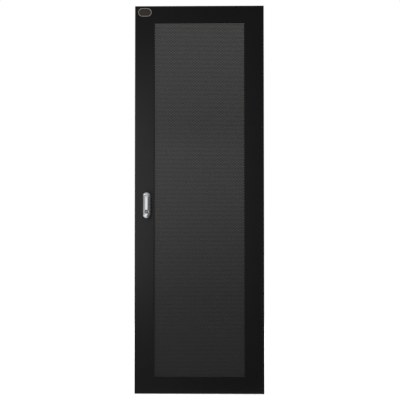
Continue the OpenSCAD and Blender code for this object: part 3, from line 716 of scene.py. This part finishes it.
def make_bracket_nuts(zinc):
    """Nuts on weld studs that hold the hinge brackets."""
    nut = lathe("bracket_nut", [
        (0, 0), (3.7 * MM, 0), (4.04 * MM, 0.25 * MM), (4.04 * MM, 2.9 * MM), (3.6 * MM, 3.2 * MM),
        (0, 3.2 * MM),
    ], 6)
    stud = lathe("bracket_stud", [
        (0, 2.4 * MM), (2.0 * MM, 2.4 * MM), (2.0 * MM, 4.0 * MM), (1.6 * MM, 4.4 * MM), (0, 4.4 * MM),
    ], 20)
    for name in ("upper_hinge_bracket", "lower_hinge_bracket"):
        low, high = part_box(name)
        lowest = (low.x + NUT_EDGE, low.y + BRACKET_WEB, low.z + NUT_MARGIN)
        step = (0.0, 0.0, high.z - low.z - 2 * NUT_MARGIN)
        row_of(name.replace("bracket", "nuts"), nut, lowest, step, 2, zinc, "zinc_plate")
        row_of(name.replace("bracket", "studs"), stud, lowest, step, 2, zinc, "zinc_plate")


def make_spring(steel):
    """Spring under the clip of the sprung hinge pin, with closed end turns.
    """
    low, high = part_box("hinge_spring")
    height = high.z - low.z
    tree = Tree(
        "sprung_pin_spring", Wire=SPRING_WIRE, Radius=high.x - SPRING_WIRE / 2,
        Length=height - SPRING_WIRE, Turns=SPRING_TURNS, Bottom=low.z + SPRING_WIRE / 2, Finish=steel,
    )
    coil = tree.add(
        "GeometryNodeCurveSpiral", Resolution=32, Rotations=tree["Turns"],
        Start_Radius=tree["Radius"], End_Radius=tree["Radius"], Height=1.0,
    )
    x, y, share = tree.parts(tree.add("GeometryNodeInputPosition"))
    wire, turns, length = tree["Wire"], tree["Turns"], tree["Length"]
    turn = share * turns
    pitch = (length - wire * 2.0) / (turns - 2.0)
    bottom_turn = turn * wire
    open_turns = (turn - 1.0) * pitch + wire
    top_turn = length - (turns - turn) * wire
    level = bottom_turn.at_least(open_turns).at_most(top_turn)
    wound = tree.add(
        "GeometryNodeSetPosition", Geometry=coil, Position=tree.vector(x, y, level + tree["Bottom"]),
    )
    section = tree.add("GeometryNodeCurvePrimitiveCircle", Resolution=10, Radius=wire * 0.5)
    swept = tree.add("GeometryNodeCurveToMesh", Curve=wound, Profile_Curve=section, Fill_Caps=True)
    tree.finish(swept, tree["Finish"])
    spring = tree.make("sprung_pin_spring", "door", "spring_steel")
    for face in spring.data.polygons:
        face.use_smooth = len(face.vertices) == 4
    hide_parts("hinge_spring")
    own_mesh(spring)


def make_earth_thread(zinc):
    """Thread on the earth stud, from the nut's back nearly to the stud's end."""
    low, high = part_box("earth_stud")
    middle = (low + high) / 2
    nut_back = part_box("earth_nut")[1].y
    gap = 0.3 * MM
    radius = (high.x - low.x) / 2 - 0.12 * MM
    length = high.y - nut_back - THREAD_PITCH
    thread("earth_thread", (middle.x, nut_back + gap, middle.z), radius, length, zinc, "zinc_plate")


# ---------------------------------------------------------------------------
# CAD nodes and their finishes
# ---------------------------------------------------------------------------

LOOSE_CORNERS = 0.001 * MM
SOFT_LIMIT = math.radians(28)
CRISP_LIMIT = math.radians(10)


def soften_tree(name, limit):
    """Merges a CAD mesh's loose triangles and smooths all but edges sharper than a limit."""
    tree = Tree(name)
    merged = tree.add("GeometryNodeMergeByDistance", Geometry=tree["Geometry"], Distance=LOOSE_CORNERS)
    smooth = tree.add("GeometryNodeSetShadeSmooth", {"domain": "FACE"}, Geometry=merged)
    angle = tree.add("GeometryNodeInputMeshEdgeAngle", output="Unsigned Angle")
    sharp = tree.add("FunctionNodeCompare", {"operation": "GREATER_THAN"}, angle, limit)
    tree.end(tree.add(
        "GeometryNodeSetShadeSmooth", {"domain": "EDGE"}, Geometry=smooth, Selection=sharp,
        Shade_Smooth=False,
    ))
    return tree.tree


def dress_nodes(finishes):
    """Gives every CAD node the finish of its slot in the record."""
    soft = soften_tree("soft_edges", SOFT_LIMIT)
    crisp = soften_tree("crisp_edges", CRISP_LIMIT)
    slots = {s["node"]: s["material_slot"] for s in frame["record"]["subparts"]}
    for name, node in nodes.items():
        node.data.materials.clear()
        node.data.materials.append(finishes[slots[name]])
        modifier = node.modifiers.new("soften", "NODES")
        modifier.node_group = crisp if slots[name] == "satin_chrome" else soft


# ---------------------------------------------------------------------------
# Stage
# ---------------------------------------------------------------------------

WORLD_FILL = 0.40
FLOOR_GREY = 0.82
FLOOR_LIFT = 0.74
FLOOR_REACH = 30
FLOOR_GAP = 4 * MM

# The backing card's distance from the sheet, and its grey by height from the leaf's foot to its top. The
# card's glow is painted shade standing for the dark space behind the door, and its rise towards the top is
# painted light from above.
CARD_GAP = 4 * MM
CARD_PAINTED_SHADE_GREYS = (
    (0.0, 0.029), (0.25, 0.041), (0.5, 0.069), (0.62, 0.078), (0.69, 0.069), (0.85, 0.089), (1.0, 0.103),
)
CARD_WARMTH = 0.97

# Edges of the dark room, and its greys by direction.
ROOM_SIDE = 6.0
ROOM_FRONT = -6.5
ROOM_TOP = 4.5
ROOM_BACK = -0.4
ROOM_LOW_GAP = 10 * MM
ROOM_LOW_BACK = -0.05
ROOM_AHEAD = 0.02
ROOM_RIGHT = 0.2
ROOM_LEFT = 0.42
ROOM_ABOVE = 0.3
ROOM_BELOW = 0.6
ROOM_WINDOW = 1.0
WINDOW_RAY = (-0.80, -0.42, 0.42)

HANDLE_CARD_LEVEL = 1.03
HANDLE_CARD_PLACE = (-0.95, -3.0, 0.90)
HANDLE_CARD_SIDE = 1.5

# Name, place, aim, width, height and power of each lamp.
LAMPS = (
    ("key_light", (-0.73, -0.45, 0.89), (-0.54, 0, 0.90), 0.40, 1.04, 8.3),
    ("fill_light", (2.4, -3.4, 2.2), (-0.3, 0, 0.9), 2.0, 2.0, 13),
    ("rear_light", (-0.6, 3.2, 2.6), (-0.3, 0, 0.8), 2.4, 2.4, 60),
)


def stage_sheet(name, corners, material):
    """A flat four-cornered sheet that belongs to the studio and not to the door."""
    mesh = bpy.data.meshes.new(name)
    mesh.from_pydata([tuple(c) for c in corners], [], [(0, 1, 2, 3)])
    mesh.materials.append(material)
    sheet = bpy.data.objects.new(name, mesh)
    bpy.context.scene.collection.objects.link(sheet)
    return sheet


def seen_directly(tree):
    """1 for camera, glossy and transmission rays, and 0 for the rest."""
    camera, glossy, through = (
        tree.add("ShaderNodeLightPath", output=f"Is {ray} Ray")
        for ray in ("Camera", "Glossy", "Transmission")
    )
    return camera.at_least(glossy).at_least(through)


def make_world():
    """A plain white studio; it lights the door at a low level."""
    world = bpy.data.worlds.new("studio")
    bpy.context.scene.world = world
    world.use_nodes = True
    tree = Nodes(world.node_tree)
    background = world.node_tree.nodes["Background"]
    background.inputs["Color"].default_value = (1, 1, 1, 1)
    strength = WORLD_FILL + (1.0 - WORLD_FILL) * seen_directly(tree)
    tree.put(strength, background.inputs["Strength"])


def floor_material():
    """Pale matt floor; what the camera sees is lifted to white but keeps its shadow."""
    floor = Finish(
        "pale_floor", Base_Color=(FLOOR_GREY, FLOOR_GREY, FLOOR_GREY, 1), Roughness=0.9,
        Specular_IOR_Level=0.0, Emission_Color=(1, 1, 1, 1),
    )
    return floor.feed(Emission_Strength=seen_directly(floor) * FLOOR_LIFT)


def painted_shade_card_material():
    """Dim grey backing card whose glow is painted shade behind the holes, lighter towards the top as painted
    light from above, seen from its front side only.
    """
    card = Finish("backing_card")
    height = card.parts(card.place)[2]
    share = card.add("ShaderNodeMapRange", None, height, leaf_low.z, leaf_high.z, 0.0, 1.0)
    stops = [(place, (grey, grey, grey * CARD_WARMTH)) for place, grey in CARD_PAINTED_SHADE_GREYS]
    # The glow is painted shade seen through the holes, graded to painted light towards the top.
    glow = card.add("ShaderNodeEmission", Color=card.add("ShaderNodeValToRGB", {"stops": stops}, share))
    clear = card.add("ShaderNodeBsdfTransparent")
    behind = card.add("ShaderNodeNewGeometry", output="Backfacing")
    return card.surface(card.add("ShaderNodeMixShader", None, behind, glow, clear))


def room_material():
    """Grey of the dark room by direction from the handle: dark ahead and to the right,
    lighter to the left and above, with one soft window at the upper left."""
    room = Finish("dark_room", Base_Color=(0, 0, 0, 1), Specular_IOR_Level=0.0, Emission_Strength=1.0)
    handle_low, handle_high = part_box("handle_lever")
    middle = (handle_low + handle_high) / 2
    away = room.add("ShaderNodeVectorMath", {"operation": "SUBTRACT"}, room.place, middle)
    x, y, z = room.parts(room.add("ShaderNodeVectorMath", {"operation": "NORMALIZE"}, away))
    spread = (1.0 - y * y + 0.0001) ** 0.5
    leftward = ((z * 0.3 - x * 0.95) / spread).between(-0.3, 0.7)
    upward = (z / spread).between(0.2, 0.9)
    downward = ((z * -0.8 - x * 0.6) / spread).between(0.5, 0.9)
    aside = (y * -1.0).between(0.93, 0.83)
    window = (x * WINDOW_RAY[0] + y * WINDOW_RAY[1] + z * WINDOW_RAY[2]).between(0.93, 0.99)
    around = (0.1 - y) * (ROOM_RIGHT + ROOM_LEFT * leftward) + ROOM_ABOVE * upward + ROOM_BELOW * downward
    level = ROOM_AHEAD + aside * around + ROOM_WINDOW * window
    return room.feed(Emission_Color=level)


def glow_material(name, level):
    """A card that reflections see at one level of grey."""
    return Finish(
        name, Base_Color=(0, 0, 0, 1), Specular_IOR_Level=0.0,
        Emission_Color=(level, level, level, 1), Emission_Strength=1.0,
    ).material


def reflector(name, material, corners):
    """A studio card or flag that only reflections see."""
    sheet = stage_sheet(name, corners, material)
    sheet.visible_camera = False
    sheet.visible_diffuse = False
    sheet.visible_transmission = False
    sheet.visible_shadow = False
    return sheet


def upright_card(name, level, centre, side):
    """An upright square reflector that faces the door."""
    x, y, z = centre
    half = side / 2
    return reflector(name, glow_material(name, level), [
        (x - half, y, z - half), (x + half, y, z - half), (x + half, y, z + half), (x - half, y, z + half),
    ])


def area_light(name, place, aim, width, height, power):
    """A soft lamp that neither the camera nor a reflection sees."""
    light = bpy.data.lights.new(name, "AREA")
    light.shape = "RECTANGLE"
    light.size = width
    light.size_y = height
    light.energy = power
    lamp = bpy.data.objects.new(name, light)
    lamp.location = place
    lamp.rotation_mode = "QUATERNION"
    lamp.rotation_quaternion = (Vector(aim) - Vector(place)).to_track_quat("-Z", "Y")
    lamp.visible_camera = False
    lamp.visible_glossy = False
    bpy.context.scene.collection.objects.link(lamp)
    return lamp


def make_dark_room(floor_z):
    """Flags on every side of the space in front of the door."""
    low = floor_z + ROOM_LOW_GAP
    left, right, front, top = -ROOM_SIDE, ROOM_SIDE, ROOM_FRONT, ROOM_TOP
    back = ROOM_BACK
    grey = room_material()
    for name, corners in (
        ("front", [(left, front, low), (right, front, low), (right, front, top), (left, front, top)]),
        ("left", [(left, front, low), (left, back, low), (left, back, top), (left, front, top)]),
        ("right", [(right, front, low), (right, back, low), (right, back, top), (right, front, top)]),
        ("top", [(left, front, top), (right, front, top), (right, back, top), (left, back, top)]),
        ("low", [(left, front, low), (right, front, low), (right, ROOM_LOW_BACK, low),
                 (left, ROOM_LOW_BACK, low)]),
    ):
        reflector(f"{name}_flag", grey, corners)


def make_stage():
    """Floor, backing card of painted shade and light, dark room, the handle's card and the lamps."""
    bpy.context.scene.view_settings.view_transform = "Standard"
    make_world()
    floor_z = leaf_low.z - FLOOR_GAP
    reach = FLOOR_REACH
    stage_sheet("floor", [
        (-reach, -reach, floor_z), (reach, -reach, floor_z),
        (reach, reach, floor_z), (-reach, reach, floor_z),
    ], floor_material())
    # Backing card behind the sheet: its glow is painted shade, lighter towards the top as painted light.
    card_y = sheet_high.y + CARD_GAP
    card = stage_sheet("backing_card", [
        (sheet_low.x, card_y, sheet_low.z), (sheet_high.x, card_y, sheet_low.z),
        (sheet_high.x, card_y, sheet_high.z), (sheet_low.x, card_y, sheet_high.z),
    ], painted_shade_card_material())
    card.visible_diffuse = False
    card.visible_glossy = False
    card.visible_shadow = False
    make_dark_room(floor_z)
    upright_card("handle_card", HANDLE_CARD_LEVEL, HANDLE_CARD_PLACE, HANDLE_CARD_SIDE)
    for lamp in LAMPS:
        area_light(*lamp)


# ---------------------------------------------------------------------------
# The door
# ---------------------------------------------------------------------------

make_camera()
finishes = {
    "black_powder_coat": black_powder_coat(),
    "champagne_trim": champagne_trim(),
    "satin_chrome": satin_chrome(),
    "cylinder_nickel": cylinder_nickel(),
    "black_nickel": black_nickel(),
    "brass": turned_brass(),
    "zinc_plate": zinc_plate(),
    "cast_zinc": cast_zinc(),
    "black_nylon": black_nylon(),
    "spring_steel": spring_steel(),
    "black_rubber": black_rubber(),
}
dress_nodes(finishes)
make_perforated_sheet(finishes["black_powder_coat"])
make_spot_welds(finishes["black_powder_coat"])
make_corner_welds(finishes["black_powder_coat"])
make_bracket_nuts(finishes["zinc_plate"])
make_spring(finishes["spring_steel"])
make_earth_thread(finishes["zinc_plate"])
make_stage()
